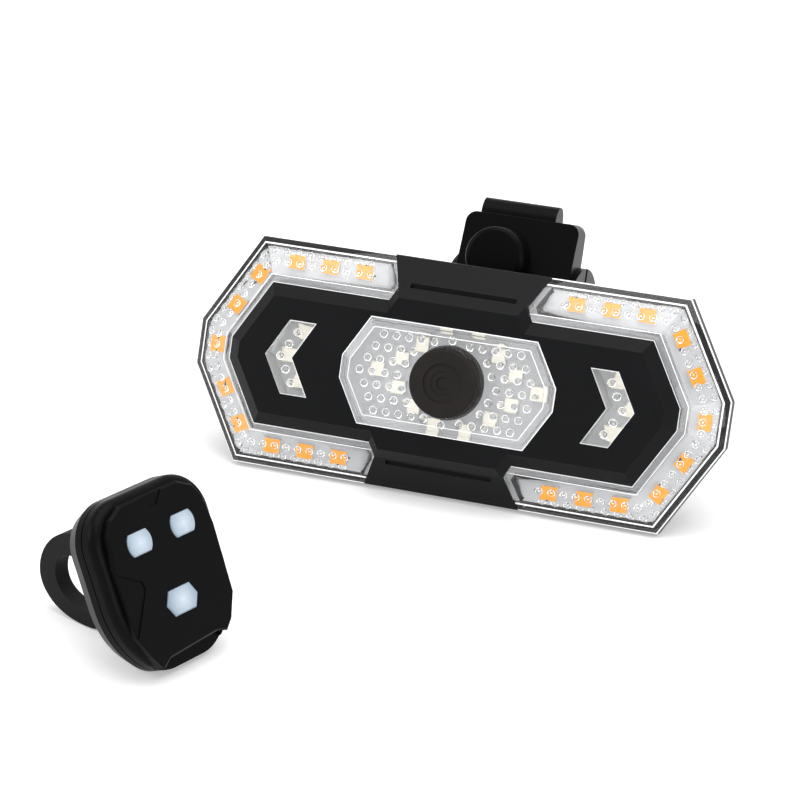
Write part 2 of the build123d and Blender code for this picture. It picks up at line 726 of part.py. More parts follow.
# Remote back cover: shell drawn in to the back, with a seal groove and screw bosses
remote_inner = remote_depth - remote_wall
with BuildPart() as remote_back_cover:
    push(remote_outline(remote_parting, -parting_groove), parting_groove)
    push(remote_outline(remote_parting + parting_groove), remote_straight - remote_parting - parting_groove)
    loft([remote_outline(remote_straight), remote_outline(remote_depth, -remote_draw)], ruled=True)
    push(remote_outline(remote_parting, -remote_wall), remote_straight - remote_parting, Mode.SUBTRACT)
    push(remote_outline(remote_straight, -remote_wall - remote_draw), remote_inner - remote_straight,
         Mode.SUBTRACT)
    push(rounds(remote_parting, remote_boss_radius, remote_places), remote_inner - remote_parting)
    push(rounds(remote_parting - overrun, remote_screw_radius + fit_gap, remote_places), remote_depth,
         Mode.SUBTRACT)
    push(rounds(remote_inner, remote_head_radius + fit_gap, remote_places), remote_depth, Mode.SUBTRACT)
    push(remote_outline(remote_parting, -remote_wall + remote_seal_size), remote_seal_size, Mode.SUBTRACT)
remote_back_cover.part.label = "remote_back_cover"

# Remote seal: flat rubber ring between the shells
with BuildPart() as remote_seal:
    push(remote_outline(remote_parting, -remote_wall + remote_seal_size), remote_seal_size)
    push(remote_outline(remote_parting, -remote_wall), remote_seal_size, Mode.SUBTRACT)
    push(rounds(remote_parting, remote_boss_radius, remote_places), remote_seal_size, Mode.SUBTRACT)
remote_seal.part.label = "remote_seal"

# Remote board with its three switches, which the buttons reach after their travel
remote_board_depth = scoop_depth + remote_wall + fit_gap
remote_board_back = remote_board_depth + remote_board_thickness
key_flange_front = remote_wall + key_gap
key_back = key_flange_front + key_flange_thickness
key_switch_height = remote_board_depth - key_back - key_travel - fit_gap
with BuildPart() as remote_board:
    push(remote_outline(remote_board_depth, -remote_wall - remote_board_margin), remote_board_thickness)
    push(rounds(0, remote_boss_radius + remote_board_margin, remote_places), remote_depth, Mode.SUBTRACT)
remote_board.part.label = "remote_board"

key_places = [(-key_x, key_z), (key_x, key_z), (0, low_key_z)]
with BuildPart() as remote_switches:
    push(blocks(remote_board_depth - key_switch_height, key_switch_size, key_switch_size, key_places),
         key_switch_height)
remote_switches.part.label = "remote_switches"


# Remote buttons: translucent caps with a flange behind the cover
def button(outline, label):
    """Cap with a softened front edge, and a flange that keeps it behind the cover."""
    with BuildPart() as cap:
        push(outline(-key_proud, 0), key_flange_front + key_proud)
        chamfer(cap.faces().sort_by(Axis.Y)[0].edges(), length=key_edge)
        push(outline(key_flange_front, key_flange), key_flange_thickness)
    cap.part.label = label
    return cap


def left_key_outline(depth, grow=0):
    """Outline of the left button."""
    return on_one_side(key_outline(depth, grow), -1)


def right_key_outline(depth, grow=0):
    """Outline of the right button."""
    return on_one_side(key_outline(depth, grow), 1)


remote_button_left = button(left_key_outline, "remote_button_left")
remote_button_right = button(right_key_outline, "remote_button_right")
remote_button_lower = button(low_key_outline, "remote_button_lower")

# Coin cell behind the board
with BuildPart() as remote_cell:
    push(rounds(remote_board_back, cell_radius, [(0, cell_z)]), cell_thickness)
remote_cell.part.label = "remote_cell"

# Remote screws: four, from the back
with BuildPart() as remote_screws:
    push(rounds(2 * remote_wall + fit_gap, remote_screw_radius, remote_places),
         remote_inner - 2 * remote_wall - fit_gap)
    push(rounds(remote_inner, remote_head_radius, remote_places), remote_wall / 2)
remote_screws.part.label = "remote_screws"

# Remote strap: rubber loop for the handlebar on a pad behind the back cover
strap_pad_back = remote_depth + strap_pad_thickness
with BuildPart() as remote_strap:
    with BuildSketch(Plane.YZ) as loop:
        with BuildLine():
            Line((remote_depth, strap_root_top), strap_outer[0])
            Spline(*strap_outer)
            Polyline(strap_outer[-1], (remote_depth, strap_root_bottom), (remote_depth, strap_root_top))
        make_face()
        with BuildLine():
            Line((strap_pad_back, strap_hole_top), strap_inner[0])
            Spline(*strap_inner)
            Polyline(strap_inner[-1], (strap_pad_back, strap_hole_bottom), (strap_pad_back, strap_hole_top))
        make_face(mode=Mode.SUBTRACT)
    extrude(amount=strap_width / 2, both=True)
    push(blocks(remote_depth, strap_pad_width, strap_root_top - strap_root_bottom,
                [(0, (strap_root_top + strap_root_bottom) / 2)]), strap_pad_thickness)
remote_strap.part.label = "remote_strap"

# The light leans back on the lower edge of its rim and on the clamp band
edge_y, edge_z = band_depth, -light_height / 2
lean = acos(band_outer / hypot(post_y - edge_y, post_z - edge_z)) - atan2(post_y - edge_y, post_z - edge_z)
light_pose = Location((0, -edge_y * cos(lean) - edge_z * sin(lean), edge_y * sin(lean) - edge_z * cos(lean)),
                      (-degrees(lean), 0, 0))

# The remote leans back on the lower edge of its shell and on its strap
shell_low = (remote_straight, remote_bottom)
remote_lean = atan2(strap_low[1] - shell_low[1], strap_low[0] - shell_low[0])
remote_rise = shell_low[0] * sin(remote_lean) - shell_low[1] * cos(remote_lean)
remote_tilt = Location((0, 0, 0), (-degrees(remote_lean), 0, 0))
remote_pose = Location((remote_x, remote_y, remote_rise), (0, 0, remote_turn)) * remote_tilt

light_pieces = [front_cover, lens_right, lens_left, center_lens, arrow_lens_right, arrow_lens_left,
                light_shield, main_board, turn_leds_right, turn_leds_left, center_leds, arrow_leds,
                power_button, power_switch, rear_housing, housing_seal, housing_screws, battery,
                usb_socket, usb_cover, swivel_insert, swivel_screw, clamp_band, rubber_liner, clamp_knob,
                clamp_screw, clamp_nut]
remote_pieces = [remote_front_cover, remote_back_cover, remote_seal, remote_board, remote_switches,
                 remote_button_left, remote_button_right, remote_button_lower, remote_cell,
                 remote_screws, remote_strap]
for piece in light_pieces:
    piece.part.move(light_pose)
for piece in remote_pieces:
    piece.part.move(remote_pose)

# The origin is the bottom centre of the whole set
box = light_pieces[0].part.bounding_box()
for piece in light_pieces + remote_pieces:
    box = box.add(piece.part.bounding_box())
settle = Location((-(box.min.X + box.max.X) / 2, -(box.min.Y + box.max.Y) / 2, -box.min.Z))
for piece in light_pieces + remote_pieces:
    piece.part.move(settle)
    export_step(piece.part, f"parts/{piece.part.label}.step")


def report(name, pose, point, direction=(0, 0, 1)):
    """Print where a joint or mount lies in the set's frame, in metres."""
    place = settle * pose * Location(point)
    tip = settle * pose * Location(tuple(a + b for a, b in zip(point, direction)))
    axis = tip.position - place.position
    print(name, [round(v / 1000, 6) for v in place.position], [round(v, 6) for v in axis])


report("power button press", light_pose, (0, 0, 0), (0, 1, 0))
report("charging cover hinge", light_pose, (hinge_x, hinge_y, 0), (0, 0, 1))
report("clamp swivel", light_pose, (0, swivel_face, post_z), (0, 1, 0))
report("knob turn", light_pose, (clamp_screw_x, knob_back_y, clamp_screw_z), (0, 1, 0))
report("post bore", light_pose, ((band_left + band_right) / 2, post_y, post_z), (1, 0, 0))
report("remote button press", remote_pose, (0, 0, 0), (0, 1, 0))
report("strap loop", remote_pose, (0, (strap_inner[2][0] + remote_depth) / 2, -0.8), (1, 0, 0))
print("set size", box.size, "lean", degrees(lean), "remote lean", degrees(remote_lean))
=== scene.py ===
"""Bicycle turn signal light with its strap-on remote, dressed on the CAD frame. Metres, +Z up."""

import json

import bmesh
import bpy
import numpy as np
from mathutils import Matrix, Vector


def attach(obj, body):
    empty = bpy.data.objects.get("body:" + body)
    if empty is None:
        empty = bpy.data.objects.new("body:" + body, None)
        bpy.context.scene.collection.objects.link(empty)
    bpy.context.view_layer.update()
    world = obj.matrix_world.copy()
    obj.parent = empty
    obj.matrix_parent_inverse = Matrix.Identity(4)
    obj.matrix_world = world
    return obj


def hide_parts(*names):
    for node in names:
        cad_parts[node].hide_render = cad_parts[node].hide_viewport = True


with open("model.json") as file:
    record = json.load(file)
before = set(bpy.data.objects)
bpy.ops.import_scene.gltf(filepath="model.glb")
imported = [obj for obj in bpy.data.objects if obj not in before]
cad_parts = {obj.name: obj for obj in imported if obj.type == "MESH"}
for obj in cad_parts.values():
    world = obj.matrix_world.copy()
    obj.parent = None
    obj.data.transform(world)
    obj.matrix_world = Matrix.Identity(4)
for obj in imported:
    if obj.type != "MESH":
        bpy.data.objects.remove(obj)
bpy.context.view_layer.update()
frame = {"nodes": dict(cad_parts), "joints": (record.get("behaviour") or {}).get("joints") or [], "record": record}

# Rear housing and front cover
# Two black ABS mouldings that meet at a step round the rim and are held by four screws from the back.
# Their faces are spark-eroded, so the black is matt with a fine grain, and handling leaves it uneven.
mm = 0.001
swivel = next(j for j in frame["joints"] if j["name"] == "clamp_swivel")
light_x = np.array([1.0, 0.0, 0.0])
light_y = np.array(swivel["axis"])
light_z = np.cross(light_x, light_y)
swivel_y = 22.0
swivel_z = 7.0
light_origin = np.array(swivel["pos_m"]) - (swivel_y * light_y + swivel_z * light_z) * mm


def on_light(points):
    """Points given in mm from the middle of the light's flat face, upright, as the set's frame holds them."""
    points = np.asarray(points, float)
    return light_origin + points @ np.array([light_x, light_y, light_z]) * mm


class Signal:
    """A shader socket on which Python's own arithmetic adds Math nodes, so that 1 - mask works."""

    def __init__(self, finish, socket):
        self.finish = finish
        self.socket = socket

    def math(self, operation, *others, clamp=False):
        """A Math node on this signal and on up to two more signals or numbers."""
        sockets = dict(enumerate((self,) + others))
        return self.finish.node("ShaderNodeMath", {"operation": operation, "use_clamp": clamp}, sockets)

    def __add__(self, other):
        return self.math("ADD", other)

    def __sub__(self, other):
        return self.math("SUBTRACT", other)

    def __rsub__(self, other):
        return self.math("MULTIPLY", -1.0) + other

    def __mul__(self, other):
        return self.math("MULTIPLY", other)

    def __truediv__(self, other):
        return self.math("DIVIDE", other)

    __radd__ = __add__
    __rmul__ = __mul__


class Finish:
    """A node material on the Principled shader, with its patterns in Object coordinates."""

    def __init__(self, name, **values):
        self.material = bpy.data.materials.new(name)
        self.material.use_nodes = True
        self.tree = self.material.node_tree
        self.tree.nodes.clear()
        self.shader = self.tree.nodes.new("ShaderNodeBsdfPrincipled")
        output = self.tree.nodes.new("ShaderNodeOutputMaterial")
        self.tree.links.new(self.shader.outputs[0], output.inputs["Surface"])
        self.place = self.node("ShaderNodeTexCoord", output="Object")
        self.set(**values)

    def node(self, kind, settings=None, sockets=None, output=0):
        """A node of a kind, with its settings set first and then its sockets' values or links."""
        made = self.tree.nodes.new(kind)
        for name, value in (settings or {}).items():
            if name == "stops":
                ramp = made.color_ramp
                while len(ramp.elements) < len(value):
                    ramp.elements.new(0.5)
                for element, (position, color) in zip(ramp.elements, value):
                    element.position = position
                    element.color = color
            else:
                setattr(made, name, value)
        for name, value in (sockets or {}).items():
            self.feed(made.inputs[name], value)
        return Signal(self, made.outputs[output])

    def feed(self, socket, value):
        """Link a signal to a socket, or set the socket's own value."""
        if isinstance(value, Signal):
            self.tree.links.new(value.socket, socket)
        else:
            socket.default_value = value

    def set(self, **values):
        """Principled sockets by name, with underscores for spaces."""
        for name, value in values.items():
            self.feed(self.shader.inputs[name.replace("_", " ")], value)

    def noise(self, scale, detail=3.0, stretch=(1, 1, 1)):
        """Noise from 0 to 1 over the piece, in features of about 1/scale metres."""
        place = self.place
        if stretch != (1, 1, 1):
            place = self.node("ShaderNodeMapping", {}, {"Vector": place, "Scale": stretch})
        return self.node("ShaderNodeTexNoise", {}, {"Vector": place, "Scale": scale, "Detail": detail})

    def blend(self, mask, first, second):
        """A colour between two colours, by a mask."""
        return self.node("ShaderNodeMix", {"data_type": "RGBA"}, {0: mask, 6: first, 7: second}, output=2)

    def bump(self, height, distance, strength=1.0):
        """A surface normal that follows a height from 0 to 1, at a real distance in metres."""
        return self.node("ShaderNodeBump", {}, {"Height": height, "Distance": distance, "Strength": strength})

    def along(self, direction, origin):
        """Distance in mm from an origin along a direction."""
        kind = "ShaderNodeVectorMath"
        offset = self.node(kind, {"operation": "SUBTRACT"}, {0: self.place, 1: tuple(origin)})
        way = tuple(np.array(direction) / mm)
        return self.node(kind, {"operation": "DOT_PRODUCT"}, {0: offset, 1: way}, output=1)


def dress(finish, *names):
    """Give CAD nodes a finish in place of the frame's plain one."""
    for name in names:
        slots = frame["nodes"][name].material_slots
        for held in slots:
            held.material = finish.material


def moulded_black(name, shade, roughness, grain, sheen=0.1):
    """Black moulded plastic: a fine eroded grain and a gloss that is a little uneven."""
    finish = Finish(name, Specular_IOR_Level=sheen)
    cloud = finish.noise(90.0, 4.0)
    fine = finish.noise(2600.0, 2.0)
    finish.set(Base_Color=finish.blend(cloud, (shade * 0.75, shade * 0.8, shade * 0.9, 1),
                                       (shade * 1.15, shade * 1.2, shade * 1.35, 1)))
    finish.set(Roughness=roughness + 0.12 * (cloud - 0.5) + 0.10 * (fine - 0.5))
    finish.set(Normal=finish.bump(fine, grain * mm, 0.5))
    return finish


cover_black = moulded_black("cover_black", 0.005, 0.42, 0.03)
dress(cover_black, "front_cover", "rear_housing")

# Housing seal, battery, charging socket and its cover
# A silicone ring in the rim's groove, a foil pouch cell and a tin-plated socket behind a matt rubber flap,
# which bends at a round spine. Liner, seal and strap are the same rubber, and the screws are plated too.
rubber = Finish("soft_rubber", Specular_IOR_Level=0.15)
bloom = rubber.noise(160.0, 5.0)
rubber.set(Base_Color=rubber.blend(bloom, (0.005, 0.005, 0.005, 1), (0.012, 0.012, 0.012, 1)))
rubber.set(Roughness=0.55 + 0.2 * bloom, Normal=rubber.bump(rubber.noise(1500.0), 0.03 * mm, 0.4))
dress(rubber, "housing_seal", "usb_cover", "rubber_liner", "remote_seal", "remote_strap")

foil = Finish("cell_foil", Metallic=0.9)
crinkle = foil.noise(420.0, 4.0)
foil.set(Base_Color=foil.blend(crinkle, (0.55, 0.56, 0.58, 1), (0.72, 0.73, 0.74, 1)))
foil.set(Roughness=0.3 + 0.2 * crinkle, Normal=foil.bump(crinkle, 0.06 * mm, 0.5))
dress(foil, "battery", "remote_cell")

plated = Finish("plated_steel", Metallic=1.0)
brushed = plated.noise(900.0, 3.0, (1, 1, 6))
plated.set(Base_Color=plated.blend(brushed, (0.45, 0.45, 0.46, 1), (0.62, 0.62, 0.62, 1)))
plated.set(Roughness=0.25 + 0.2 * brushed)
dress(plated, "usb_socket", "housing_screws", "swivel_screw", "clamp_nut", "clamp_screw", "remote_screws")

turned_brass = Finish("turned_brass", Metallic=1.0)
turning = turned_brass.noise(1200.0)
turned_brass.set(Base_Color=turned_brass.blend(turning, (0.5, 0.34, 0.12, 1), (0.66, 0.48, 0.2, 1)))
turned_brass.set(Roughness=0.28 + 0.15 * turning)
dress(turned_brass, "swivel_insert")

# Clamp band, knob and screw
# One glass-filled nylon ring with two ears, from a polished mould, so it is a little glossier than the
# light. The knob is the same nylon, moulded round the head of the clamp screw.
nylon = moulded_black("clamp_nylon", 0.0022, 0.30, 0.02, 0.05)
dress(nylon, "clamp_band", "clamp_knob")

# Main board, its switch and the light shield
# Fibreglass with white solder mask and fine copper tracks just seen under it, a tact switch in the
# middle, and a white moulding whose wells keep each group of lamps apart. The remote's board is green.
# The white mask carries a faint painted glow, which brightens the board as seen through the lenses.
white_mask = Finish("white_board_mask", Specular_IOR_Level=0.2, Emission_Strength=0.08)
white_mask.set(Emission_Color=(1.0, 1.0, 1.0, 1))
track = white_mask.node("ShaderNodeTexBrick", {"offset": 0.5}, {
    "Vector": white_mask.place, "Scale": 260.0, "Mortar Size": 0.03, "Color1": (1, 1, 1, 1),
    "Color2": (0.96, 0.96, 0.96, 1), "Mortar": (0.8, 0.8, 0.8, 1)})
ink = white_mask.noise(240.0)
white_mask.set(Base_Color=white_mask.blend(ink, (0.88, 0.88, 0.89, 1), (0.80, 0.81, 0.83, 1)))
white_mask.set(Roughness=0.45, Normal=white_mask.bump(track, 0.03 * mm, 0.6))
dress(white_mask, "main_board")

shield_white = Finish("shield_white", Specular_IOR_Level=0.4)
flow = shield_white.noise(150.0)
shield_white.set(Base_Color=shield_white.blend(flow, (0.86, 0.86, 0.85, 1), (0.78, 0.79, 0.8, 1)))
shield_white.set(Roughness=0.4 + 0.15 * shield_white.noise(600.0))
dress(shield_white, "light_shield")
dress(moulded_black("switch_black", 0.02, 0.5, 0.01), "power_switch", "remote_switches")

green_mask = Finish("green_board_mask", Specular_IOR_Level=0.5)
weave = green_mask.noise(700.0)
green_mask.set(Base_Color=green_mask.blend(weave, (0.01, 0.10, 0.04, 1), (0.02, 0.15, 0.07, 1)))
green_mask.set(Roughness=0.3 + 0.2 * weave)
dress(green_mask, "remote_board")

# Amber and white lamps
# Surface-mounted lamps 3.5 by 2.8 mm: a white ceramic-filled cup on the board, and in it a square pool of
# silicone, amber in the wings and pale yellow in the middle and the arrows.
lamp_body = Finish("lamp_cup", Specular_IOR_Level=0.5)
ceramic = lamp_body.noise(900.0)
lamp_body.set(Base_Color=lamp_body.blend(ceramic, (0.9, 0.9, 0.88, 1), (0.82, 0.82, 0.8, 1)))
lamp_body.set(Roughness=0.35 + 0.1 * lamp_body.noise(1500.0))
dress(lamp_body, "turn_leds_right", "turn_leds_left", "center_leds", "arrow_leds")

half_length = 55.0
half_height = 23.2
half_tip = 4.6
slant = np.radians(60)
lamp_front = 7.6
lamp_inset = 4.7
pool_length = 3.3
pool_width = 2.65
pool_proud = 0.04
pool_crown = 0.05
pool_grid = 7
pale_pool = 2.5
first_lamp_x = 21.9
wing_lamp_pitch = 7.15
wing_lamp_x = first_lamp_x + wing_lamp_pitch * np.arange(3)
slant_lamp_shares = np.array([0.22, 0.67])


def gem_corners(inset):
    """Tip and upper corner (x, z) of the light's eight-sided outline, drawn in by an inset, in mm."""
    inset = np.asarray(inset, float)
    tip = half_tip - inset * (1 - np.sin(slant)) / np.cos(slant)
    top = half_height - inset
    side = half_length - inset
    corner = side - (top - tip) / np.tan(slant)
    return np.stack([side, tip], -1), np.stack([corner, top], -1)


def pools(name, centers, turns, width, height, finish):
    """Flat square pads with a soft raised middle, one on each lamp: a grid whose height is a cosine crown."""
    across, up = np.meshgrid(np.linspace(-1, 1, pool_grid), np.linspace(-1, 1, pool_grid))
    crown = pool_proud + pool_crown * np.cos(across * np.pi / 2) * np.cos(up * np.pi / 2)
    points = []
    faces = []
    index = np.arange(across.size).reshape(across.shape)
    quads = np.stack([index[:-1, :-1], index[1:, :-1], index[1:, 1:], index[:-1, 1:]], -1).reshape(-1, 4)
    for count, ((x, z), turn) in enumerate(zip(centers, turns)):
        along = across * width / 2
        rise = up * height / 2
        px = x + along * np.cos(turn) - rise * np.sin(turn)
        pz = z + along * np.sin(turn) + rise * np.cos(turn)
        points.append(np.stack([px, lamp_front - crown, pz], -1).reshape(-1, 3))
        faces.append(quads + across.size * count)
    mesh = bpy.data.meshes.new(name)
    mesh.from_pydata(on_light(np.concatenate(points)).tolist(), [], np.concatenate(faces).tolist())
    mesh.shade_smooth()
    mesh.materials.append(finish.material)
    piece = bpy.data.objects.new(name, mesh)
    bpy.context.scene.collection.objects.link(piece)
    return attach(piece, "light")


amber = Finish("amber_silicone", Specular_IOR_Level=0.1)
amber_cloud = amber.noise(700.0, 2.0)
amber.set(Base_Color=amber.blend(amber_cloud, (0.9, 0.30, 0.0, 1), (0.98, 0.42, 0.0, 1)), Roughness=0.3)
amber.set(Emission_Color=(1.0, 0.40, 0.0, 1), Emission_Strength=0.5)
tip_point, top_point = gem_corners(lamp_inset)
slant_points = top_point + slant_lamp_shares[:, None] * (tip_point - top_point)
wing = [(x, side * top_point[1]) for x in wing_lamp_x for side in (1, -1)]
wing_turns = [0.0] * len(wing)
for x, z in slant_points:
    wing += [(x, z), (x, -z)]
    wing_turns += [-slant, slant]
wing.append((tip_point[0], 0.0))
wing_turns.append(np.pi / 2)
for name, side in (("turn_lamp_pools_right", 1), ("turn_lamp_pools_left", -1)):
    centers = [(side * x, z) for x, z in wing]
    turns = [side * turn for turn in wing_turns]
    pools(name, centers, turns, pool_length, pool_width, amber)

pale = Finish("warm_white_silicone", Specular_IOR_Level=0.2)
pale_cloud = pale.noise(700.0)
pale.set(Base_Color=pale.blend(pale_cloud, (0.95, 0.91, 0.76, 1), (0.98, 0.95, 0.85, 1)), Roughness=0.3)
pale.set(Emission_Color=(1.0, 0.95, 0.82, 1), Emission_Strength=0.5)
center_lamps = [(16.1, 0), (11.5, 2.8), (11.5, -2.8), (7.9, 6.0), (7.9, -6.0), (3.3, 9.0), (3.3, -9.0)]
center_places = [(side * x, z) for x, z in center_lamps for side in (1, -1)]
arrow_point = 37.9
arrow_band = 5.6
arrow_reach = 4.2
arrow_half = 7.45
arrow_lamp_z = 4.6


def arrow_line(z):
    """x of the middle of the right-hand arrow's band at a height, in mm."""
    return arrow_point - arrow_band / 2 - arrow_reach * np.abs(z) / arrow_half


arrow_places = [(side * arrow_line(z), z) for z in (-arrow_lamp_z, 0.0, arrow_lamp_z) for side in (1, -1)]
pale_places = center_places + arrow_places
turns = [0.0] * len(pale_places)
pools("white_lamp_pools", pale_places, turns, pale_pool, pale_pool, pale)

# Wing lenses
# Clear acrylic, injection moulded: a C-shaped trough round the cover's tip, blacked on its outer wall, with
# narrow bevelled edges painted with a white highlight, and two rows of small dimpled domes inside, which break up
# the lamps behind them.
acrylic = Finish("clear_acrylic", Base_Color=(0.99, 0.995, 1.0, 1), Transmission_Weight=1.0, IOR=1.49)
acrylic.set(Roughness=0.02 + 0.05 * acrylic.noise(500.0, 2.0), Specular_IOR_Level=0.1)
acrylic.set(Normal=acrylic.bump(acrylic.noise(260.0, 2.0), 0.02 * mm, 0.35))
# Painted highlight: the bevelled lens edges glow white, unevenly, in place of the lamps' reflection on them.
highlight_edge = Finish("polished_edge", Roughness=0.2, Emission_Strength=0.45)
uneven_highlight = highlight_edge.noise(220.0, 3.0)
highlight_white = highlight_edge.blend(uneven_highlight, (0.7, 0.71, 0.73, 1), (1.0, 1.0, 1.0, 1))
highlight_edge.set(Base_Color=highlight_white, Emission_Color=highlight_white)
dome_radius = 0.82
dome_height = 0.55
dome_skirt = 0.3
dome_spacing = 2.6
dome_sides = 16
dome_lean = 0.36 * np.pi
dimple_radius_share = 0.2
dimple_edge_share = 0.75
dimple_floor_share = 0.55
merge_distance = 0.002
edge_width = 0.3
# (depth of an edge, how near to it, share of the edge's width)
edge_shares = ((0.5, 0.6, 0.4), (2.43, 0.1, 0.6), (3.3, 0.1, 0.3), (7.2, 0.1, 0.65), (8.2, 0.1, 0.9))
least_bend = np.radians(2)
same_depth = 0.05
rim_skin = 0.1
side_on = 0.2
sharp_bend = np.radians(25)
slant_reach = half_length * np.sin(slant) + half_tip * np.cos(slant)


def domes(centers, normal):
    """Closed caps on centres in mm: a dimpled elliptic profile with a skirt, turned round the normal."""
    lean = np.linspace(0, dome_lean, 5)
    radii = np.concatenate([[dome_radius], dome_radius * np.cos(lean), [dome_radius * dimple_radius_share]])
    rises = np.concatenate([[-dome_skirt], dome_height * np.sin(lean), [dome_height * dimple_edge_share]])
    spin = np.linspace(0, 2 * np.pi, dome_sides, endpoint=False)
    normal = np.asarray(normal, float)
    first = np.cross(normal, [0.0, 0.3, 1.0])
    first /= np.linalg.norm(first)
    second = np.cross(normal, first)
    ring = np.cos(spin)[:, None] * first + np.sin(spin)[:, None] * second
    shell = radii[:, None, None] * ring + rises[:, None, None] * normal
    dimple = dome_height * dimple_floor_share * normal
    cap = np.concatenate([shell.reshape(-1, 3), [dimple], [-dome_skirt * normal]])
    here = np.arange(len(radii) * dome_sides).reshape(-1, dome_sides)
    after = np.roll(here, -1, 1)
    walls = np.stack([here[:-1], after[:-1], after[1:], here[1:]], -1).reshape(-1, 4).tolist()
    top = len(cap) - 2
    bottom = len(cap) - 1
    tops = np.stack([here[-1], after[-1], np.full(dome_sides, top)], -1).tolist()
    bottoms = np.stack([after[0], here[0], np.full(dome_sides, bottom)], -1).tolist()
    points = np.concatenate([cap + center for center in centers])
    skin = walls + tops + bottoms
    faces = [[i + len(cap) * n for i in face] for n in range(len(centers)) for face in skin]
    return points, faces


def mesh_object(name, points, faces):
    """An object from points in the set's frame and faces, with its normals pointing out."""
    mesh = bpy.data.meshes.new(name)
    mesh.from_pydata(np.asarray(points).tolist(), [], faces)
    built = bmesh.new()
    built.from_mesh(mesh)
    bmesh.ops.recalc_face_normals(built, faces=built.faces)
    built.to_mesh(mesh)
    built.free()
    piece = bpy.data.objects.new(name, mesh)
    bpy.context.scene.collection.objects.link(piece)
    return piece


def join_domes(lens, groups, node):
    """Join groups of domes to a lens, which then stands for a CAD node."""
    points = []
    faces = []
    for centers, normal in groups:
        cap_points, cap_faces = domes(centers, normal)
        start = sum(len(earlier) for earlier in points)
        points.append(cap_points)
        faces += [[i + start for i in face] for face in cap_faces]
    caps = mesh_object(lens.name + "_domes", on_light(np.concatenate(points)), faces)
    join = lens.modifiers.new("join", "BOOLEAN")
    join.operation = "UNION"
    join.solver = "EXACT"
    join.object = caps
    depsgraph = bpy.context.evaluated_depsgraph_get()
    lens.data = bpy.data.meshes.new_from_object(lens.evaluated_get(depsgraph))
    lens.modifiers.clear()
    bpy.data.objects.remove(caps)
    lens.data.shade_smooth()
    lens.data.set_sharp_from_angle(angle=sharp_bend)
    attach(lens, "light")
    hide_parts(node)


def copied_lens(name, node, groups):
    """A copy of a CAD lens with a black outer rim, a painted highlight on its narrow edges and domes inside."""
    mesh = frame["nodes"][node].data.copy()
    mesh.materials.clear()
    for finish in (acrylic, cover_black, highlight_edge):
        mesh.materials.append(finish.material)
    built = bmesh.new()
    built.from_mesh(mesh)
    bmesh.ops.remove_doubles(built, verts=built.verts, dist=merge_distance * mm)
    for face in built.faces:
        place = (np.array(face.calc_center_median()) - light_origin) / mm
        across = abs(place @ light_x)
        rise = abs(place @ light_z)
        past_slant = across * np.sin(slant) + rise * np.cos(slant) - slant_reach
        on_rim = max(across - half_length, rise - half_height, past_slant) > -rim_skin
        face.material_index = int(on_rim and abs(np.array(face.normal) @ light_y) < side_on)
    weights = built.edges.layers.float.new("bevel_weight_edge")
    for edge in built.edges:
        ends = (np.array([vertex.co for vertex in edge.verts]) - light_origin) @ light_y / mm
        if np.ptp(ends) < same_depth and edge.calc_face_angle(0.0) > least_bend:
            edge[weights] = sum(share for depth, near, share in edge_shares if abs(ends[0] - depth) < near)
    built.to_mesh(mesh)
    built.free()
    lens = bpy.data.objects.new(name, mesh)
    bpy.context.scene.collection.objects.link(lens)
    soften = lens.modifiers.new("soften", "BEVEL")
    soften.width = edge_width * mm
    soften.segments = 2
    soften.limit_method = "WEIGHT"
    # The bevel's faces take the third finish, the painted edge highlight.
    soften.material = 2
    join_domes(lens, groups, node)


# (inset, depth) of the sloping face's inner side, at its rim and at its crease
face_inner = ((2.0, 8.4), (7.4, 4.5))
face_slope = np.arctan2(face_inner[0][1] - face_inner[1][1], face_inner[1][0] - face_inner[0][0])
leg_end_x = 18.6
leg_end_z = 17.0
leg_end_slope = 0.30
rim_dome_inset = 2.95
lamp_dome_inset = 4.95


def face_depth(inset):
    """Depth of the sloping face's inner side at an inset from the outline, in mm."""
    (low, deep), (high, shallow) = face_inner
    return deep + (inset - low) * (shallow - deep) / (high - low)


def wing_domes(side, inset):
    """Domes along one wing at an inset, as one group for each straight stretch of the outline."""
    tip, top = gem_corners(inset)
    leg_start = leg_end_x + leg_end_slope * (top[1] - leg_end_z)
    lean_x = np.sin(slant)
    lean_z = np.cos(slant)
    stretches = [((leg_start, top[1]), top, (0, 1)),
                 (top, tip, (lean_x, lean_z)),
                 (tip, (tip[0], -tip[1]), (1, 0)),
                 ((tip[0], -tip[1]), (top[0], -top[1]), (lean_x, -lean_z)),
                 ((top[0], -top[1]), (leg_start, -top[1]), (0, -1))]
    groups = []
    for start, end, outward in stretches:
        start = np.array(start, float)
        end = np.array(end, float)
        count = max(1, int(round(np.linalg.norm(end - start) / dome_spacing)))
        places = start + ((np.arange(count) + 0.5) / count)[:, None] * (end - start)
        centers = np.stack([side * places[:, 0], np.full(count, face_depth(inset)), places[:, 1]], -1)
        normal = np.array([-side * outward[0] * np.sin(face_slope), np.cos(face_slope),
                           -outward[1] * np.sin(face_slope)])
        groups.append((centers, normal))
    return groups


for name, node, side in (("wing_lens_right", "lens_right", 1), ("wing_lens_left", "lens_left", -1)):
    copied_lens(name, node, wing_domes(side, rim_dome_inset) + wing_domes(side, lamp_dome_inset))

# Centre and arrow lenses
# The same acrylic in flat plates, dropped into the cover from behind. The centre one stands a little proud
# with a broad bevel, and has staggered domes round the button's hole. Each arrow has one row of domes.
window_half = (21.95, 10.75, 2.3)
button_hole = 6.95
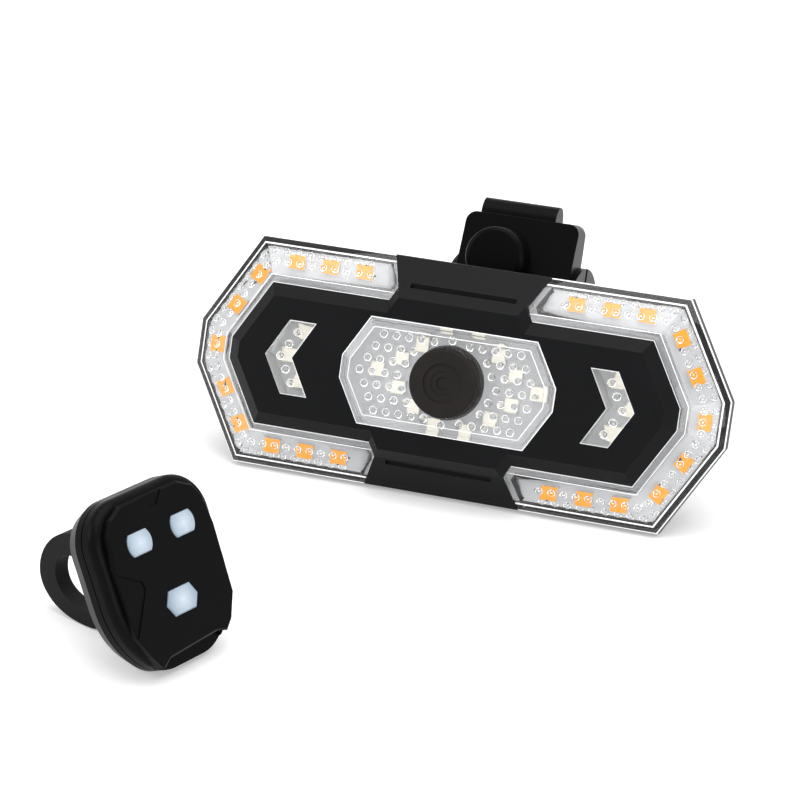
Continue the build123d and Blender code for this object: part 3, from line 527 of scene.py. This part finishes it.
# (depth, inset) of each ring of points, from the button's hole over the bevelled front to the flange behind
rings = ((0.7, None), (-0.7, None), (-0.7, 2.0), (-0.65, 1.85), (-0.06, 0.16), (0.0, 0.0), (1.6, 0.0),
         (1.6, -1.0), (2.4, -1.0), (2.4, 1.0), (0.7, 1.0))
highlight_rings = (2, 4)
ring_turns = 96
least = 1e-9


def window_sides(inset):
    """Half length, half height and half tip of the window's eight-sided outline, drawn in by an inset."""
    return np.array(window_half) - [inset, inset, inset * (1 - np.sin(slant)) / np.cos(slant)]


def window_reach(turns, inset):
    """Distance from the middle to the window's outline, drawn in by an inset, at given angles."""
    side, top, tip = window_sides(inset)
    run = np.abs(np.cos(turns))
    climb = np.abs(np.sin(turns))
    edge = (side * np.sin(slant) + tip * np.cos(slant)) / (run * np.sin(slant) + climb * np.cos(slant))
    return np.minimum(np.minimum(side / np.maximum(run, least), top / np.maximum(climb, least)), edge)


turns = np.linspace(0, 2 * np.pi, ring_turns, endpoint=False)
for _, inset in rings[2:]:
    side, top, tip = window_sides(inset)
    corner = side - (top - tip) / np.tan(slant)
    bends = np.array([np.arctan2(tip, side), np.arctan2(top, corner)])
    turns = np.concatenate([turns, bends, np.pi - bends, np.pi + bends, 2 * np.pi - bends])
turns = np.unique(turns.round(5))
loops = []
for depth, inset in rings:
    reach = np.full(len(turns), button_hole) if inset is None else window_reach(turns, inset)
    loops.append(np.stack([reach * np.cos(turns), np.full(len(turns), depth), reach * np.sin(turns)], -1))
here = np.arange(len(rings) * len(turns)).reshape(len(rings), -1)
after = np.roll(here, -1, 1)
skin = np.stack([here, after, np.roll(after, -1, 0), np.roll(here, -1, 0)], -1)
window = mesh_object("center_window", on_light(np.concatenate(loops)), skin.reshape(-1, 4).tolist())
for finish in (acrylic, cover_black, highlight_edge):
    window.data.materials.append(finish.material)
slots = np.zeros(here.shape, int)
# The two bevelled rings of the front take the painted edge highlight.
slots[list(highlight_rings)] = 2
window.data.polygons.foreach_set("material_index", slots.ravel())

center_inner = 0.7
row_height = 2.53
first_reach = 17.96
button_keep_off = 8.0
middle_keep_off = 3.0
middle_dome_z = 8.3
lattice = [(side * (first_reach - dome_spacing * (abs(k) / 2 + n)), row_height * k)
           for k in range(-3, 4) for n in range(7) for side in (1, -1)]
center_domes = [(x, center_inner, z) for x, z in lattice
                if np.hypot(x, z) > button_keep_off and abs(x) > middle_keep_off]
center_domes += [(0.0, center_inner, middle_dome_z), (0.0, center_inner, -middle_dome_z)]
join_domes(window, [(np.array(center_domes), (0, 1, 0))], "center_lens")

arrow_inner = 2.4
arrow_dome_pitch = 2.5
arrow_dome_z = arrow_dome_pitch * np.arange(-2, 3)
for name, node, side in (("arrow_window_right", "arrow_lens_right", 1),
                         ("arrow_window_left", "arrow_lens_left", -1)):
    depths = np.full(len(arrow_dome_z), arrow_inner)
    row = np.stack([side * arrow_line(arrow_dome_z), depths, arrow_dome_z], -1)
    copied_lens(name, node, [(row, (0, 1, 0))])

# Power button
# A silicone cap that stands through the centre lens. Charcoal rubber with a faint brown cast, a rolled
# edge and rings moulded into its top, which catch the light as thin lines.
charcoal = Finish("charcoal_silicone", Specular_IOR_Level=0.12)
dust = charcoal.noise(300.0, 3.0)
charcoal.set(Base_Color=charcoal.blend(dust, (0.011, 0.0095, 0.0088, 1), (0.021, 0.018, 0.0165, 1)))
charcoal.set(Roughness=0.5 + 0.1 * dust, Normal=charcoal.bump(charcoal.noise(1800.0), 0.02 * mm, 0.5))
dress(charcoal, "power_button")

# Remote shells
# Two black ABS shells with a silicone seal between them, screwed together from the back. The mould is
# polished more than the light's, so the raised face has a fine satin grain.
remote_black = moulded_black("remote_black", 0.0028, 0.32, 0.02, 0.06)
dress(remote_black, "remote_front_cover", "remote_back_cover")

# Remote buttons
# Three caps of translucent pale blue silicone. Each carries painted light: it is lighter in its centre than at
# its rim, as if lit from below through a thinner middle, and has a faint painted glow.
press = next(j for j in frame["joints"] if j["name"] == "remote_left_button_press")
strap = next(m for m in frame["record"]["mounts"] if m["name"] == "handlebar_strap")
remote_x = np.array(strap["axis"])
remote_y = np.array(press["axis"])
remote_z = np.cross(remote_x, remote_y)
strap_y = 19.05
strap_z = -0.8
glow_radius = 3.4
remote_origin = np.array(strap["pos_m"]) - (strap_y * remote_y + strap_z * remote_z) * mm
for node, x, z in (("remote_button_left", -5.45, 5.8), ("remote_button_right", 5.45, 5.8),
                   ("remote_button_lower", 0.0, -6.5)):
    ice = Finish(node + "_silicone", Specular_IOR_Level=0.5, Coat_Weight=0.2)
    dx = ice.along(remote_x, remote_origin) - x
    dz = ice.along(remote_z, remote_origin) - z
    # Painted light: a lighter middle round each button's centre, mixed with random mottling.
    middle = (1 - (dx * dx + dz * dz).math("SQRT") / glow_radius).math("ADD", 0.0, clamp=True)
    glow_and_mottle = middle * (0.8 + 0.5 * ice.noise(1200.0))
    ice.set(Base_Color=ice.blend(glow_and_mottle, (0.27, 0.36, 0.44, 1), (0.60, 0.68, 0.78, 1)))
    ice.set(Roughness=0.3 + 0.1 * ice.noise(800.0))
    # A faint painted glow over the whole cap.
    ice.set(Emission_Color=(0.75, 0.88, 1.0, 1), Emission_Strength=0.03)
    dress(ice, node)

# Studio: floor, lights and camera
# A white sweep that stays white to the camera and in reflections while it keeps soft shadows, a big soft
# lamp above, two weaker ones at the sides, and the camera where the photograph was taken.
floor_mesh = bpy.data.meshes.new("floor")
reach = 3.0
floor_mesh.from_pydata([(-reach, -reach, 0), (reach, -reach, 0), (reach, reach, 0), (-reach, reach, 0)], [],
                       [(0, 1, 2, 3)])
floor = bpy.data.objects.new("floor", floor_mesh)
bpy.context.scene.collection.objects.link(floor)
paper = Finish("white_paper", Roughness=0.9, Specular_IOR_Level=0.1, Base_Color=(0.9, 0.9, 0.9, 1))
paper_glow = 0.32
ray = paper.tree.nodes.new("ShaderNodeLightPath")
direct = Signal(paper, ray.outputs["Is Camera Ray"])
mirrored = Signal(paper, ray.outputs["Is Glossy Ray"])
through = Signal(paper, ray.outputs["Is Transmission Ray"])
seen = direct.math("MAXIMUM", mirrored).math("MAXIMUM", through)
paper.set(Emission_Color=(1, 1, 1, 1), Emission_Strength=seen * paper_glow)
floor_mesh.materials.append(paper.material)

world = bpy.data.worlds.new("studio")
bpy.context.scene.world = world
world.use_nodes = True
tree = world.node_tree
tree.nodes.clear()
background = tree.nodes.new("ShaderNodeBackground")
background.inputs["Color"].default_value = (1, 1, 1, 1)
room_light = 0.55
room_seen = 1.0
path = tree.nodes.new("ShaderNodeLightPath")
strength = tree.nodes.new("ShaderNodeMix")
strength.data_type = "FLOAT"
strength.inputs[2].default_value = room_light
strength.inputs[3].default_value = room_seen
mirrored = tree.nodes.new("ShaderNodeMath")
mirrored.operation = "MAXIMUM"
seen = tree.nodes.new("ShaderNodeMath")
seen.operation = "MAXIMUM"
tree.links.new(path.outputs["Is Camera Ray"], mirrored.inputs[0])
tree.links.new(path.outputs["Is Glossy Ray"], mirrored.inputs[1])
tree.links.new(mirrored.outputs[0], seen.inputs[0])
tree.links.new(path.outputs["Is Transmission Ray"], seen.inputs[1])
tree.links.new(seen.outputs[0], strength.inputs[0])
tree.links.new(strength.outputs[0], background.inputs["Strength"])
output = tree.nodes.new("ShaderNodeOutputWorld")
tree.links.new(background.outputs[0], output.inputs["Surface"])

aim_point = Vector((-0.01, 0.0, 0.02))
for name, place, size, power in (("top_softbox", (0.1, -0.05, 0.9), 0.9, 6.0),
                                 ("left_softbox", (-0.8, -0.5, 0.5), 0.5, 2.5),
                                 ("right_softbox", (0.8, -0.6, 0.35), 0.5, 2.0)):
    lamp = bpy.data.lights.new(name, "AREA")
    lamp.size = size
    lamp.energy = power
    lamp_object = bpy.data.objects.new(name, lamp)
    lamp_object.location = place
    lamp_object.rotation_euler = (aim_point - Vector(place)).to_track_quat("-Z", "Y").to_euler()
    bpy.context.scene.collection.objects.link(lamp_object)

camera_place = on_light([144.04, -546.46, 38.16])
view_way = np.array([-0.26866, 0.96027, -0.07548]) @ np.array([light_x, light_y, light_z])
image_up = np.array([-0.1571, 0.0336, 0.987]) @ np.array([light_x, light_y, light_z])
camera = bpy.data.cameras.new("camera")
camera.lens = 130
camera.sensor_width = 36
camera.clip_start = 0.01
camera_object = bpy.data.objects.new("camera", camera)
back = -Vector(view_way).normalized()
up = (Vector(image_up) - Vector(image_up).dot(back) * back).normalized()
side = up.cross(back)
turned = Matrix((side, up, back)).transposed().to_4x4()
camera_object.matrix_world = Matrix.Translation(Vector(camera_place)) @ turned
bpy.context.scene.collection.objects.link(camera_object)
bpy.context.scene.camera = camera_object
bpy.context.scene.view_settings.view_transform = "Standard"
